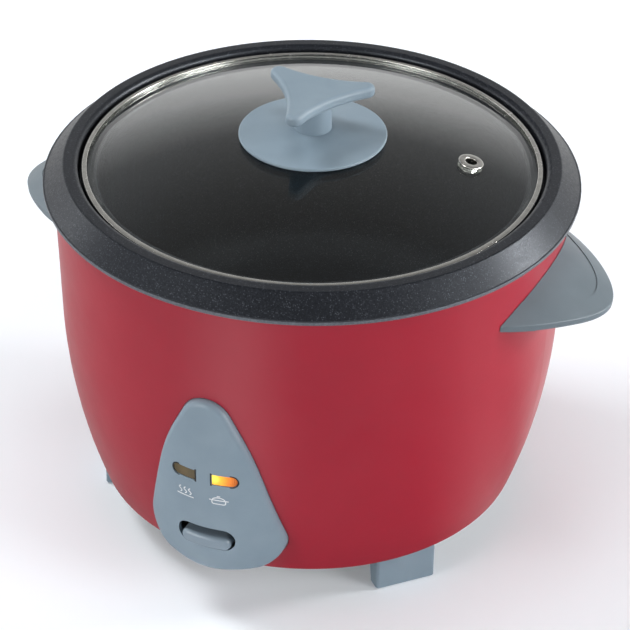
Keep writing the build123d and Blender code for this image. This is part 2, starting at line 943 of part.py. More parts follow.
housing_inner = magnet_radius + magnet_guide
housing_outer = housing_inner + housing_wall
housing_bottom = plate_bottom - housing_depth
with BuildPart() as thermostat_housing:
    with BuildSketch(Plane.XY.offset(plate_bottom - housing_flange_wall)):
        Circle(housing_flange)
        with PolarLocations(housing_screw_circle, 3):
            Circle(small_screw + fit_gap, mode=Mode.SUBTRACT)
    extrude(amount=housing_flange_wall)
    with BuildSketch(Plane.XY.offset(housing_bottom)):
        Circle(housing_outer)
    extrude(amount=housing_depth + housing_top)
    with BuildSketch(Plane.XY.offset(housing_bottom + housing_wall)):
        Circle(housing_inner)
    extrude(amount=housing_depth + housing_top, mode=Mode.SUBTRACT)
    with BuildSketch(Plane.XY.offset(housing_bottom)):
        Circle(rod_radius + slide_gap)
    extrude(amount=housing_wall, mode=Mode.SUBTRACT)
housing_screws = screws(
    ring_seats(housing_screw_circle, 0, plate_bottom - housing_flange_wall),
    small_screw,
    housing_flange_wall + plate_screw_depth,
    small_screw_head,
    small_screw_head_height,
)


def coil(radius, wire, bottom, top):
    """Open coil spring between two levels."""
    height = top - bottom - 2 * wire
    with BuildPart() as spring:
        with BuildLine() as path:
            Helix(height / spring_turns, height, radius, center=(0, 0, bottom + wire))
        with BuildSketch(Plane(origin=path.line @ 0, z_dir=path.line % 0)):
            Circle(wire)
        sweep(path=path.line)
    return spring.part


sensor_spring = coil(
    sensor_spring_radius, sensor_spring_wire, plate_bottom + fit_gap, sensor_roof - fit_gap
)
release_spring = coil(
    release_spring_radius, release_spring_wire, magnet_top + fit_gap, sensor_roof - fit_gap
)

# Control panel: a hollow cover through a window in the shell
panel_crown = shell_bottom + panel_crown_rise
panel_crown_radius = wall_radius(panel_crown) + panel_stand
panel_centre_radius = panel_crown_radius - panel_profile_radius
panel_bow_axis = panel_crown_radius - panel_bow_radius
bow_plane = Plane(origin=(0, -panel_bow_axis, 0), x_dir=(0, -1, 0), z_dir=(-1, 0, 0))


def panel_face(z, depth=0.0):
    """Distance of the panel's middle line from the Z axis at a height, a depth below its face."""
    return panel_centre_radius + sqrt((panel_profile_radius - depth) ** 2 - (z - panel_crown) ** 2)


def panel_core(depth):
    """Solid filling the panel's front surface, a depth below it."""
    high = panel_apex
    low = panel_chin
    middle = (high + low) / 2
    with BuildPart() as core:
        with BuildSketch(bow_plane):
            with BuildLine():
                front = ThreePointArc(
                    (panel_face(high, depth) - panel_bow_axis, high),
                    (panel_face(middle, depth) - panel_bow_axis, middle),
                    (panel_face(low, depth) - panel_bow_axis, low),
                )
                Polyline(front @ 1, (0, low), (0, high), front @ 0)
            make_face()
        revolve(axis=Axis(bow_plane.origin, (0, 0, 1)))
    return core.part


def lens_band(side, grow, outer_depth, inner_depth):
    """Lens shape between two depths below the panel's face: round outer end, square inner end."""
    with BuildPart() as band:
        with BuildSketch(Plane.XZ.offset(panel_bow_axis)):
            with Locations((side * lens_spread, lens_z)):
                SlotOverall(lens_width + 2 * grow, lens_height + 2 * grow)
            with Locations((side * (lens_spread - lens_width / 4 - grow / 2), lens_z)):
                Rectangle(lens_width / 2 + grow, lens_height + 2 * grow)
        extrude(amount=2 * panel_bow_radius)
        add(panel_core(outer_depth), mode=Mode.INTERSECT)
        add(panel_core(inner_depth), mode=Mode.SUBTRACT)
    return band.part


lens_z = shell_bottom + lens_rise
board_distance = panel_face(lens_z) - board_space
boss_places = [(0, lens_z - boss_spread), (0, lens_z + boss_spread)]
panel_cavity = panel_prism(-panel_wall)
with BuildPart() as control_panel:
    add(panel_prism(0))
    add(panel_core(0), mode=Mode.INTERSECT)
    panel_front = control_panel.faces().sort_by(Axis.Y)[0]
    fillet(panel_front.edges(), panel_round)
    add(panel_cavity & panel_core(panel_wall), mode=Mode.SUBTRACT)
    add(shell_core(shell_wall + panel_tuck), mode=Mode.SUBTRACT)
    with BuildSketch(Plane.XZ.offset(board_distance)):
        with Locations(*boss_places):
            Circle(boss_radius)
    extrude(until=Until.NEXT)
    with BuildSketch(Plane.XZ.offset(board_distance)):
        with Locations(*boss_places):
            Circle(boss_pilot)
    extrude(amount=panel_wall + seat_gap, mode=Mode.SUBTRACT)
    with BuildSketch(Plane.XZ.offset(board_distance)):
        with Locations((0, slot_z)):
            RectangleRounded(slot_width, slot_height, slot_round)
    extrude(amount=button_depth + panel_wall, both=True, mode=Mode.SUBTRACT)
    for side in (-1, 1):
        add(lens_band(side, fit_gap, -lens_cut, panel_wall + lens_cut), mode=Mode.SUBTRACT)

lenses = {}
for lens_name, side in (("warm_lens", -1), ("cook_lens", 1)):
    flange_depth = panel_wall + fit_gap
    with BuildPart() as lens:
        add(lens_band(side, 0, lens_sink, flange_depth))
        add(lens_band(side, lens_flange, flange_depth, flange_depth + lens_flange_wall))
    lenses[lens_name] = lens.part

# Indicator lamps on a board behind the lenses
lamps = {}
lamp_distance = board_distance + lamp_radius + press_gap
for lamp_name, side in (("warm_lamp", -1), ("cook_lamp", 1)):
    lamp_end = Plane.YZ.offset(side * lens_spread - lamp_length / 2)
    with BuildPart() as lamp:
        with BuildSketch(lamp_end):
            with Locations((-lamp_distance, lens_z)):
                Circle(lamp_radius)
        extrude(amount=lamp_length)
        fillet(lamp.edges().filter_by(GeomType.CIRCLE), lamp_round)
    lamps[lamp_name] = lamp.part
with BuildPart() as lamp_board:
    with BuildSketch(Plane.XZ.offset(board_distance - board_wall)):
        with Locations((0, lens_z)):
            RectangleRounded(board_width, board_height, board_round)
        with Locations(*boss_places):
            Circle(fine_screw + fit_gap, mode=Mode.SUBTRACT)
    extrude(amount=board_wall)
board_screws = screws(
    [Location((0, board_wall - board_distance, z), (90, 0, 0)) for _, z in boss_places],
    fine_screw,
    board_wall + panel_wall,
    fine_screw_head,
    small_screw_head_height,
)

# Cook button, bowed like the panel, with a stem down to the switch lever
button_front = panel_face(slot_z) + button_proud
button_back = button_front - button_depth
stem_bottom = lever_z - lever_wall / 2 - stem_wall
with BuildPart() as cook_button:
    with BuildSketch(Plane.XZ.offset(button_back)):
        with Locations((0, button_z)):
            RectangleRounded(button_width, button_height, button_round)
    extrude(amount=2 * button_depth)
    add(panel_core(-button_proud), mode=Mode.INTERSECT)
    fillet(cook_button.faces().sort_by(Axis.Y)[0].edges(), button_edge)
    with BuildSketch(Plane.XZ.offset(button_back)):
        with Locations((0, (button_z + stem_bottom) / 2)):
            Rectangle(lever_width + 2 * stem_wall, button_z - stem_bottom)
    extrude(amount=stem_depth)
    with BuildSketch(Plane.XZ.offset(button_back)):
        with Locations((0, lever_z)):
            Rectangle(lever_width + 2 * press_gap, lever_wall + 2 * press_gap)
    extrude(amount=lever_grip + fit_gap, mode=Mode.SUBTRACT)

switch_y = switch_reach - lever_pivot
with BuildPart() as switch_lever:
    with BuildSketch(Plane.XY.offset(lever_z - lever_wall / 2)):
        lever_front = -button_back - lever_grip
        with Locations((0, (lever_front + lever_tail) / 2)):
            Rectangle(lever_width, lever_tail - lever_front)
        with Locations((tab_reach / 2, switch_y)):
            Rectangle(tab_reach, 2 * tab_half)
    extrude(amount=lever_wall)
    with BuildSketch(Plane.YZ):
        with Locations((-lever_pivot, lever_z)):
            Circle(hub_radius)
    extrude(amount=hub_length / 2, both=True)
    with BuildSketch(Plane.YZ):
        with Locations((-lever_pivot, lever_z)):
            Circle(pin_radius + seat_gap)
    extrude(amount=hub_length, both=True, mode=Mode.SUBTRACT)

# Bracket with two ears; the right ear reaches back to carry the switch
ear_inner = hub_length / 2 + ear_gap
ear_outer = ear_inner + ear_wall
bracket_top = base_top + bracket_wall
switch_bottom = lever_z + hub_radius
switch_top = switch_bottom + switch_height
switch_rear = switch_y + switch_length / 2
with BuildPart() as lever_bracket:
    with BuildSketch(Plane.XY.offset(base_top)):
        with Locations((0, (bracket_front + bracket_rear) / 2)):
            RectangleRounded(bracket_width, bracket_length, bracket_round)
        with Locations(*[(0, y) for y in bracket_screw_y]):
            Circle(small_screw + fit_gap, mode=Mode.SUBTRACT)
    extrude(amount=bracket_wall)
    ear_front = -lever_pivot - ear_half
    ear_rear = -lever_pivot + ear_half
    with BuildSketch(Plane.YZ.offset(-ear_outer)):
        with BuildLine():
            FilletPolyline(
                (ear_front, bracket_top),
                (ear_rear, bracket_top),
                (ear_rear, lever_z + ear_top),
                (ear_front, lever_z + ear_top),
                radius=[0, 0, bracket_round, bracket_round],
                close=True,
            )
        make_face()
    extrude(amount=ear_wall)
    with BuildSketch(Plane.YZ.offset(ear_inner)):
        with BuildLine():
            FilletPolyline(
                (ear_front, bracket_top),
                (ear_rear, bracket_top),
                (ear_rear, switch_bottom),
                (switch_rear, switch_bottom),
                (switch_rear, switch_top),
                (ear_front, switch_top),
                radius=[0, 0, ear_bend, ear_bend, ear_bend, bracket_round],
                close=True,
            )
        make_face()
    extrude(amount=ear_wall)
    with BuildSketch(Plane.YZ):
        with Locations((-lever_pivot, lever_z)):
            Circle(pin_radius + press_gap)
    extrude(amount=ear_outer, both=True, mode=Mode.SUBTRACT)
bracket_screws = screws(
    [Location((0, y, bracket_top), (180, 0, 0)) for y in bracket_screw_y],
    small_screw,
    bracket_wall + base_wall,
    small_screw_head,
    small_screw_head_height,
)
with BuildPart() as lever_pivot_pin:
    with BuildSketch(Plane.YZ):
        with Locations((-lever_pivot, lever_z)):
            Circle(pin_radius)
    extrude(amount=ear_outer + pin_overhang, both=True)
    chamfer(lever_pivot_pin.edges().filter_by(GeomType.CIRCLE), pin_edge)

# Micro switch beside the right ear, worked by a plunger over the lever's tab
plunger_x = tab_reach - plunger_radius - tab_margin
switch_x = ear_outer + fit_gap + switch_width / 2
switch_in_x = switch_x + terminal_step
switch_out_x = switch_x - terminal_step
switch_tip_z = switch_top - terminal_drop
plunger_bottom = lever_top + slide_gap
plunger_top = plunger_bottom + plunger_length
with BuildPart() as micro_switch:
    with BuildSketch(Plane.XY.offset(switch_bottom)):
        with Locations((switch_x, switch_y)):
            RectangleRounded(switch_width, switch_length, switch_round)
    extrude(amount=switch_height)
    with BuildSketch(Plane.XY.offset(switch_bottom)):
        with Locations((plunger_x, switch_y)):
            Circle(plunger_radius + slide_gap)
    extrude(amount=plunger_top + fit_gap - switch_bottom, mode=Mode.SUBTRACT)
    with BuildSketch(Plane.XZ.offset(-switch_rear)):
        with Locations((switch_in_x, switch_tip_z), (switch_out_x, switch_tip_z)):
            Rectangle(terminal_wall, terminal_height)
    extrude(amount=-switch_terminal)
with BuildPart() as switch_plunger:
    with BuildSketch(Plane.XY.offset(plunger_bottom)):
        with Locations((plunger_x, switch_y)):
            Circle(plunger_radius)
    extrude(amount=plunger_length)
    fillet(switch_plunger.faces().sort_by(Axis.Z)[0].edges(), plunger_round)

# Wing handles: arched shells that lean down and outwards, each held by two screws into its root
# The arch falls to the edge heights given at the tip and at the ends of the root
handle_crown = Vector(shell_top_radius, 0, handle_crown_z)
handle_fall = (handle_height - handle_tip_edge) / handle_reach
handle_lean = degrees(atan(handle_fall + tan(radians(handle_tilt))))
handle_root = shell_top_radius - shell_lip_radius
handle_sag = handle_height + handle_root * handle_fall - handle_root_edge
handle_sag = handle_sag * cos(radians(handle_lean))
handle_arch_radius = (handle_half**2 + handle_sag**2) / (2 * handle_sag)
handle_plane = Plane(
    origin=(shell_top_radius, 0, handle_crown_z - handle_height),
    x_dir=(cos(radians(handle_tilt)), 0, -sin(radians(handle_tilt))),
    z_dir=(sin(radians(handle_tilt)), 0, cos(radians(handle_tilt))),
)
handle_points = [
    (-handle_root, -handle_half),
    (handle_shoulder_reach, -handle_shoulder_half),
    (handle_reach, 0),
    (handle_shoulder_reach, handle_shoulder_half),
    (-handle_root, handle_half),
]
dish_points = [
    (-handle_root, handle_dish_side - handle_half),
    (handle_reach - handle_dish_tip, 0),
    (-handle_root, handle_half - handle_dish_side),
]
screw_seat_x = -fit_gap + sqrt(
    wall_radius(handle_screw_z, shell_wall) ** 2 - (handle_screw_spread + fine_screw_head) ** 2
)
handle_pilot = screw_seat_x + screw_grip + seat_gap - shell_lip_radius
handle_square = Vector(sin(radians(handle_lean)), 0, cos(radians(handle_lean)))
handle_bar = Plane(
    origin=handle_crown - handle_square * handle_arch_radius,
    x_dir=(0, 1, 0),
    z_dir=(cos(radians(handle_lean)), 0, -sin(radians(handle_lean))),
)


def handle_arch(depth):
    """Round bar through the crown of a handle that leans down and outwards, sunk by a depth."""
    with BuildPart() as arch:
        with BuildSketch(handle_bar):
            Circle(handle_arch_radius - depth)
        extrude(amount=handle_arch_radius, both=True)
    return arch.part


def handle_prism(points):
    """Smooth outline through points of the handle's underside, carried straight up."""
    with BuildPart() as prism:
        with BuildSketch(handle_plane):
            with BuildLine():
                outline = Spline(*points)
                Line(outline @ 1, outline @ 0)
            make_face()
        extrude(amount=handle_height + handle_reach)
    return prism.part


with BuildPart() as handle_hollow:
    add(handle_arch(handle_wall))
    add(shell_core(-handle_rib), mode=Mode.SUBTRACT)
with BuildPart() as handle_dish:
    add(handle_prism(dish_points))
    add(handle_arch(handle_dish_depth), mode=Mode.SUBTRACT)
handles = {}
with BuildPart() as handle_right:
    add(handle_prism(handle_points))
    add(handle_arch(0), mode=Mode.INTERSECT)
    rim_edges = handle_right.faces().filter_by(GeomType.CYLINDER).edges()
    fillet(rim_edges.filter_by(GeomType.BSPLINE), handle_edge)
    add(shell_core(-fit_gap), mode=Mode.SUBTRACT)
    add(handle_hollow.part, mode=Mode.SUBTRACT)
    add(handle_dish.part, mode=Mode.SUBTRACT)
    with BuildSketch(Plane.YZ.offset(shell_lip_radius)):
        with Locations((-handle_screw_spread, handle_screw_z), (handle_screw_spread, handle_screw_z)):
            Circle(fine_screw + press_gap)
    extrude(amount=handle_pilot, mode=Mode.SUBTRACT)
handles["handle_right"] = handle_right.part
handles["handle_left"] = mirror(handle_right.part, about=Plane.YZ)

# Handle screws driven outwards from inside the shell
handle_seats = []
for side in (-1, 1):
    for y in (-handle_screw_spread, handle_screw_spread):
        handle_seats.append(Location((side * screw_seat_x, y, handle_screw_z), (0, 90 * side, 0)))
handle_screws = screws(
    handle_seats, fine_screw, screw_grip, fine_screw_head, small_screw_head_height
)

# Appliance inlet on the base plate, behind its window in the shell
socket_floor = inlet_face - socket_depth
blade_places = [
    (-blade_spread, inlet_z - blade_step),
    (blade_spread, inlet_z - blade_step),
    (0, inlet_z + blade_step),
]
with BuildPart() as inlet_socket:
    with BuildSketch(Plane.XZ.offset(-inlet_face)):
        with Locations((0, inlet_z)):
            RectangleRounded(inlet_width, inlet_height, inlet_round)
    extrude(amount=inlet_depth)
    fillet(inlet_socket.faces().sort_by(Axis.Y)[-1].edges(), inlet_edge)
    with BuildSketch(Plane.XZ.offset(-inlet_face)):
        with Locations((0, inlet_z)):
            RectangleRounded(socket_width, socket_height, socket_round)
    extrude(amount=socket_depth, mode=Mode.SUBTRACT)
    with BuildSketch(Plane.XZ.offset(-inlet_face)):
        with Locations(*blade_places):
            Rectangle(blade_wall + 2 * press_gap, blade_width + 2 * press_gap)
    extrude(amount=inlet_depth, mode=Mode.SUBTRACT)
    with BuildSketch(Plane.XY.offset(base_top)):
        with Locations((0, inlet_screw_y)):
            Rectangle(inlet_width + 2 * inlet_ear_width, inlet_ear_depth)
    extrude(amount=inlet_ear_height)
    with BuildSketch(Plane.XY.offset(base_top)):
        with Locations((inlet_screw_x, inlet_screw_y), (-inlet_screw_x, inlet_screw_y)):
            Circle(small_screw + fit_gap)
    extrude(amount=inlet_ear_height, mode=Mode.SUBTRACT)
with BuildPart() as inlet_pins:
    with BuildSketch(Plane.XZ.offset(-socket_floor - blade_reach)):
        with Locations(*blade_places):
            Rectangle(blade_wall, blade_width)
    extrude(amount=blade_reach + inlet_depth - socket_depth + blade_tail)
    chamfer(inlet_pins.faces().group_by(Axis.Y)[-1].edges(), blade_edge)
inlet_ear_top = base_top + inlet_ear_height
inlet_seats = [(x, inlet_screw_y, inlet_ear_top) for x in (-inlet_screw_x, inlet_screw_x)]
inlet_screws = screws(
    [Location(seat, (180, 0, 0)) for seat in inlet_seats],
    small_screw,
    inlet_ear_height + base_wall,
    small_screw_head,
    small_screw_head_height,
)

# Thermal fuse under the liner floor, held by a hat-shaped clip
fuse_z = liner_floor - fuse_radius - fit_gap
with BuildPart() as thermal_fuse:
    with BuildSketch(Plane.YZ.offset(fuse_x - fuse_length / 2)):
        with Locations((fuse_y, fuse_z)):
            Circle(fuse_radius)
    extrude(amount=fuse_length)
    fillet(thermal_fuse.edges().filter_by(GeomType.CIRCLE), fuse_round)
clip_half = fuse_radius + fit_gap
with BuildPart() as fuse_clip:
    with BuildSketch(Plane.YZ.offset(fuse_x - clip_width / 2)):
        with BuildLine():
            clip_low = fuse_z - clip_half
            Polyline(
                (fuse_y - clip_half - clip_wing, liner_floor),
                (fuse_y - clip_half, liner_floor),
                (fuse_y - clip_half, clip_low),
                (fuse_y + clip_half, clip_low),
                (fuse_y + clip_half, liner_floor),
                (fuse_y + clip_half + clip_wing, liner_floor),
                (fuse_y + clip_half + clip_wing, liner_floor - clip_wall),
                (fuse_y + clip_half + clip_wall, liner_floor - clip_wall),
                (fuse_y + clip_half + clip_wall, clip_low - clip_wall),
                (fuse_y - clip_half - clip_wall, clip_low - clip_wall),
                (fuse_y - clip_half - clip_wall, liner_floor - clip_wall),
                (fuse_y - clip_half - clip_wing, liner_floor - clip_wall),
                close=True,
            )
        make_face()
    extrude(amount=clip_width)


def wire(points):
    """Insulated wire along straight runs joined by round bends."""
    with BuildPart() as lead:
        with BuildLine() as path:
            FilletPolyline(*points, radius=wire_bend)
        with BuildSketch(Plane(origin=path.line @ 0, z_dir=path.line % 0)):
            Circle(wire_radius)
        sweep(path=path.line)
    return lead.part


# Wiring: inlet to fuse and switch, on to the element, and an earth to the liner
tail_y = inlet_back - blade_tail
terminal_low = plate_bottom - terminal_length
live_x, live_z = blade_places[1]
neutral_x, neutral_z = blade_places[0]
earth_x, earth_z = blade_places[2]
right_terminal = polar(element_circle, terminal_angles[0])
left_terminal = polar(element_circle, terminal_angles[1])
switch_tip = switch_rear + switch_terminal + seat_gap
wires = {
    "live_wire": wire(
        [
            (live_x, tail_y, live_z),
            (live_x, tail_y - wire_lead, live_z),
            (fuse_x + live_side, tail_y - live_turn, live_z + live_rise),
            (fuse_x + live_side, fuse_y, fuse_z),
            (fuse_x + fuse_length / 2, fuse_y, fuse_z),
        ]
    ),
    "fuse_wire": wire(
        [
            (fuse_x - fuse_length / 2, fuse_y, fuse_z),
            (switch_in_x, fuse_y, fuse_z),
            (switch_in_x, switch_tip + wire_bend, switch_tip_z),
            (switch_in_x, switch_tip, switch_tip_z),
        ]
    ),
    "neutral_wire": wire(
        [
            (neutral_x, tail_y, neutral_z),
            (neutral_x, tail_y - wire_lead, neutral_z),
            (left_terminal[0], left_terminal[1] + terminal_run, neutral_z),
            (left_terminal[0], left_terminal[1], neutral_z),
            (left_terminal[0], left_terminal[1], terminal_low),
        ]
    ),
    "heater_wire": wire(
        [
            (switch_out_x, switch_tip, switch_tip_z),
            (switch_out_x, switch_tip + wire_bend, switch_tip_z),
            (switch_out_x, switch_tip + heater_run, switch_tip_z - heater_drop),
            (right_terminal[0], right_terminal[1] - terminal_run, terminal_low - heater_drop),
            (right_terminal[0], right_terminal[1], terminal_low - heater_drop),
            (right_terminal[0], right_terminal[1], terminal_low),
        ]
    ),
    "earth_wire": wire(
        [
            (earth_x, tail_y, earth_z),
            (earth_x, tail_y - earth_lead, earth_z),
            (earth_x, tail_y - earth_lead, liner_floor - fit_gap),
        ]
    ),
}

pieces = {
    "outer_shell": outer_shell.part,
    "inner_liner": inner_liner.part,
    "base_plate": base_plate.part,
    **feet,
    "foot_screws": foot_screws,
    "base_posts": base_posts.part,
    "base_screws": base_screws,
    "liner_screws": liner_screws,
    "keep_warm_band": keep_warm_band.part,
    "heating_plate": heating_plate.part,
    "heating_element": heating_element.part,
    "plate_spacers": plate_spacers.part,
    "plate_screws": plate_screws,
    "inner_pot": inner_pot.part,
    "lid_glass": lid_glass.part,
    "lid_rim": lid_rim.part,
    "vent_grommet": vent_grommet.part,
    "knob_skirt": knob_skirt.part,
    "knob_grip": knob_grip.part,
    "knob_washer": knob_washer.part,
    "knob_screw": knob_screw,
    "sensor_cup": sensor_cup.part,
    "sensor_ferrite": sensor_ferrite.part,
    "sensor_spring": sensor_spring,
    "release_spring": release_spring,
    "thermostat_magnet": thermostat_magnet.part,
    "magnet_rod": magnet_rod.part,
    "thermostat_housing": thermostat_housing.part,
    "housing_screws": housing_screws,
    "control_panel": control_panel.part,
    **lenses,
    **lamps,
    "lamp_board": lamp_board.part,
    "board_screws": board_screws,
    "cook_button": cook_button.part,
    "switch_lever": switch_lever.part,
    "lever_bracket": lever_bracket.part,
    "bracket_screws": bracket_screws,
    "lever_pivot_pin": lever_pivot_pin.part,
    "micro_switch": micro_switch.part,
    "switch_plunger": switch_plunger.part,
    **handles,
    "handle_screws": handle_screws,
    "inlet_socket": inlet_socket.part,
    "inlet_pins": inlet_pins.part,
    "inlet_screws": inlet_screws,
    "thermal_fuse": thermal_fuse.part,
    "fuse_clip": fuse_clip.part,
    **wires,
}
for name, piece in pieces.items():
    piece.label = name
    export_step(piece, f"parts/{name}.step")
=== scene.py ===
"""Rice cooker on a white floor, seen from the front right and above."""

import json
from math import cos, pi, radians, sin

import bmesh
import bpy
from mathutils import Matrix, Vector


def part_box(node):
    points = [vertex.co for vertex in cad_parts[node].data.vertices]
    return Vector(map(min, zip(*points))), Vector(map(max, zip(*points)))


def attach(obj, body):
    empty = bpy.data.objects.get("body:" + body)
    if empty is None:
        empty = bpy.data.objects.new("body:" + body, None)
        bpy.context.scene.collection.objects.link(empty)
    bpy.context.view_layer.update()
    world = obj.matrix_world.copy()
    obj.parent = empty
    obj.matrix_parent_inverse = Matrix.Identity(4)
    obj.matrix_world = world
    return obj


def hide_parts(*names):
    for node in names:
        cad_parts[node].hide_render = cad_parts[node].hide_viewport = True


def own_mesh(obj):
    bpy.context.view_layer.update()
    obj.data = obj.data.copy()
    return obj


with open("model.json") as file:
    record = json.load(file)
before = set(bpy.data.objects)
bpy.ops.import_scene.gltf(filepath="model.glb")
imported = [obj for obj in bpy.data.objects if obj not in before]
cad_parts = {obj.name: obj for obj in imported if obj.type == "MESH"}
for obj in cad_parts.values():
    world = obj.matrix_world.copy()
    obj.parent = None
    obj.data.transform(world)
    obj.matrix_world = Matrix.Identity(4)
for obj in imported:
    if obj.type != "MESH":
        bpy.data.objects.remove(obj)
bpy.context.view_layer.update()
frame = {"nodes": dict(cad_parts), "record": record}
nodes = frame["nodes"]
scene = bpy.context.scene
scene.view_settings.view_transform = "Standard"


# Camera, fitted to the round rims of the photograph
CAMERA_AZIMUTH = 22.5
CAMERA_RISE = 30.218
CAMERA_DISTANCE = 1.2850
CAMERA_TURN = (-0.101, -3.418, 0.801)
CREST = 0.190
FOCAL = 2661.1
FRAME_PIXELS = 630


def make_camera():
    rise = radians(CAMERA_RISE)
    yaw, pitch, roll = (radians(value) for value in CAMERA_TURN)
    place = Vector((0, -cos(rise), sin(rise))) * CAMERA_DISTANCE
    ahead = Vector((0, cos(rise), -sin(rise)))
    right = Vector((1, 0, 0))
    above = Vector((0, sin(rise), cos(rise)))
    turn = Matrix.Rotation(yaw, 3, above)
    ahead, right = turn @ ahead, turn @ right
    turn = Matrix.Rotation(pitch, 3, right)
    ahead, above = turn @ ahead, turn @ above
    turn = Matrix.Rotation(-roll, 3, ahead)
    right, above = turn @ right, turn @ above
    spin = Matrix.Rotation(radians(CAMERA_AZIMUTH), 3, "Z")
    place = spin @ place + Vector((0, 0, CREST))
    axes = Matrix((spin @ right, spin @ above, -(spin @ ahead))).transposed()
    data = bpy.data.cameras.new("camera")
    data.sensor_fit = "HORIZONTAL"
    data.sensor_width = 36
    data.lens = FOCAL / FRAME_PIXELS * data.sensor_width
    data.clip_end = 20
    camera = bpy.data.objects.new("camera", data)
    camera.matrix_world = Matrix.Translation(place) @ axes.to_4x4()
    scene.collection.objects.link(camera)
    scene.camera = camera


make_camera()


# Node helpers
class Shader:
    """A material with a principled shader and short calls for the nodes that feed it."""

    def __init__(self, name):
        self.material = bpy.data.materials.new(name)
        self.material.use_nodes = True
        self.tree = self.material.node_tree
        self.bsdf = self.tree.nodes["Principled BSDF"]
        self.output = self.tree.nodes["Material Output"]
        self.place = self.add("ShaderNodeTexCoord").outputs["Object"]

    def add(self, kind, **settings):
        node = self.tree.nodes.new(kind)
        for key, value in settings.items():
            setattr(node, key, value)
        return node

    def link(self, source, target):
        self.tree.links.new(source, target)

    def set(self, **values):
        for key, value in values.items():
            self.bsdf.inputs[key.replace("_", " ")].default_value = value

    def noise(self, scale, detail=3.0, stretch=None):
        node = self.add("ShaderNodeTexNoise")
        node.inputs["Scale"].default_value = scale
        node.inputs["Detail"].default_value = detail
        source = self.place
        if stretch:
            shape = self.add("ShaderNodeMapping")
            shape.inputs["Scale"].default_value = stretch
            self.link(source, shape.inputs["Vector"])
            source = shape.outputs["Vector"]
        self.link(source, node.inputs["Vector"])
        return node.outputs["Fac"]

    def ramp(self, value, *stops):
        node = self.add("ShaderNodeValToRGB")
        points = node.color_ramp.elements
        while len(points) < len(stops):
            points.new(0.5)
        for point, (where, colour) in zip(points, stops):
            point.position = where
            point.color = (*colour, 1)
        self.link(value, node.inputs["Fac"])
        return node.outputs["Color"]

    def span(self, value, low, high, start=0.3, end=0.7):
        node = self.add("ShaderNodeMapRange")
        node.inputs["From Min"].default_value = start
        node.inputs["From Max"].default_value = end
        node.inputs["To Min"].default_value = low
        node.inputs["To Max"].default_value = high
        self.link(value, node.inputs["Value"])
        return node.outputs["Result"]

    def bump(self, height, distance, strength=1.0):
        node = self.add("ShaderNodeBump")
        node.inputs["Distance"].default_value = distance
        node.inputs["Strength"].default_value = strength
        self.link(height, node.inputs["Height"])
        self.link(node.outputs["Normal"], self.bsdf.inputs["Normal"])

    def product(self, one, other):
        node = self.add("ShaderNodeMath", operation="MULTIPLY")
        self.link(one, node.inputs[0])
        self.link(other, node.inputs[1])
        return node.outputs[0]

    def mix(self, share, ground, over):
        node = self.add("ShaderNodeMix", data_type="RGBA")
        self.link(share, node.inputs["Factor"])
        self.link(ground, node.inputs["A"])
        self.link(over, node.inputs["B"])
        return node.outputs["Result"]

    def length(self, vector):
        node = self.add("ShaderNodeVectorMath", operation="LENGTH")
        self.link(vector, node.inputs[0])
        return node.outputs["Value"]

    def colour(self, socket):
        self.link(socket, self.bsdf.inputs["Base Color"])

    def rough(self, socket):
        self.link(socket, self.bsdf.inputs["Roughness"])


def moulded(name, dark, light, rough, grain=1600, depth=0.00003, level=0.5):
    """Moulded plastic: faint mottling, uneven gloss and a fine spark-eroded grain."""
    look = Shader(name)
    look.set(Specular_IOR_Level=level)
    look.colour(look.ramp(look.noise(55), (0.35, dark), (0.65, light)))
    look.rough(look.span(look.noise(90), rough - 0.04, rough + 0.05))
    look.bump(look.noise(grain, 2.0), depth)
    return look


def plated(name, dark, light, rough, stretch=(1, 1, 1), scale=300, depth=0.00002):
    """Bare or plated metal with fine streaks along one way."""
    look = Shader(name)
    look.set(Metallic=1.0)
    streaks = look.noise(scale, 4.0, stretch)
    look.colour(look.ramp(streaks, (0.3, dark), (0.7, light)))
    look.rough(look.span(streaks, rough - 0.05, rough + 0.08))
    look.bump(streaks, depth)
    return look


def red_paint():
    """Baked satin paint: deep red with a faint orange peel."""
    look = Shader("red_paint")
    look.set(Specular_IOR_Level=0.7)
    cloud = look.noise(14, 4.0)
    look.colour(look.ramp(cloud, (0.3, (0.355, 0.009, 0.027)), (0.7, (0.385, 0.013, 0.032))))
    look.rough(look.span(look.noise(60), 0.30, 0.35))
    look.bump(look.noise(420, 2.0), 0.00006, 0.5)
    return look


# Bounds of the painted highlight band on the rolled lip of the pot
LIP_INNER = 0.1264
LIP_HEIGHT = 0.0017
LIP_FADE = 0.0006
LIP_SIDE_FADE = 0.001
pot_points = nodes["inner_pot"].data.vertices
lip_low = min(point.co.z for point in pot_points if point.co.xy.length > LIP_INNER)


def painted_lip_highlight(look):
    """Share of the rolled lip, where a paler grey is painted as the highlight its bead catches."""
    parts = look.add("ShaderNodeSeparateXYZ")
    look.link(look.place, parts.inputs["Vector"])
    top = lip_low + LIP_HEIGHT
    low = look.span(parts.outputs["Z"], 1.0, 0.0, top, top + LIP_FADE)
    level = look.add("ShaderNodeVectorMath", operation="MULTIPLY")
    look.link(look.place, level.inputs[0])
    level.inputs[1].default_value = (1, 1, 0)
    away = look.length(level.outputs["Vector"])
    wide = look.span(away, 0.0, 1.0, LIP_INNER, LIP_INNER + LIP_SIDE_FADE)
    return look.product(low, wide)


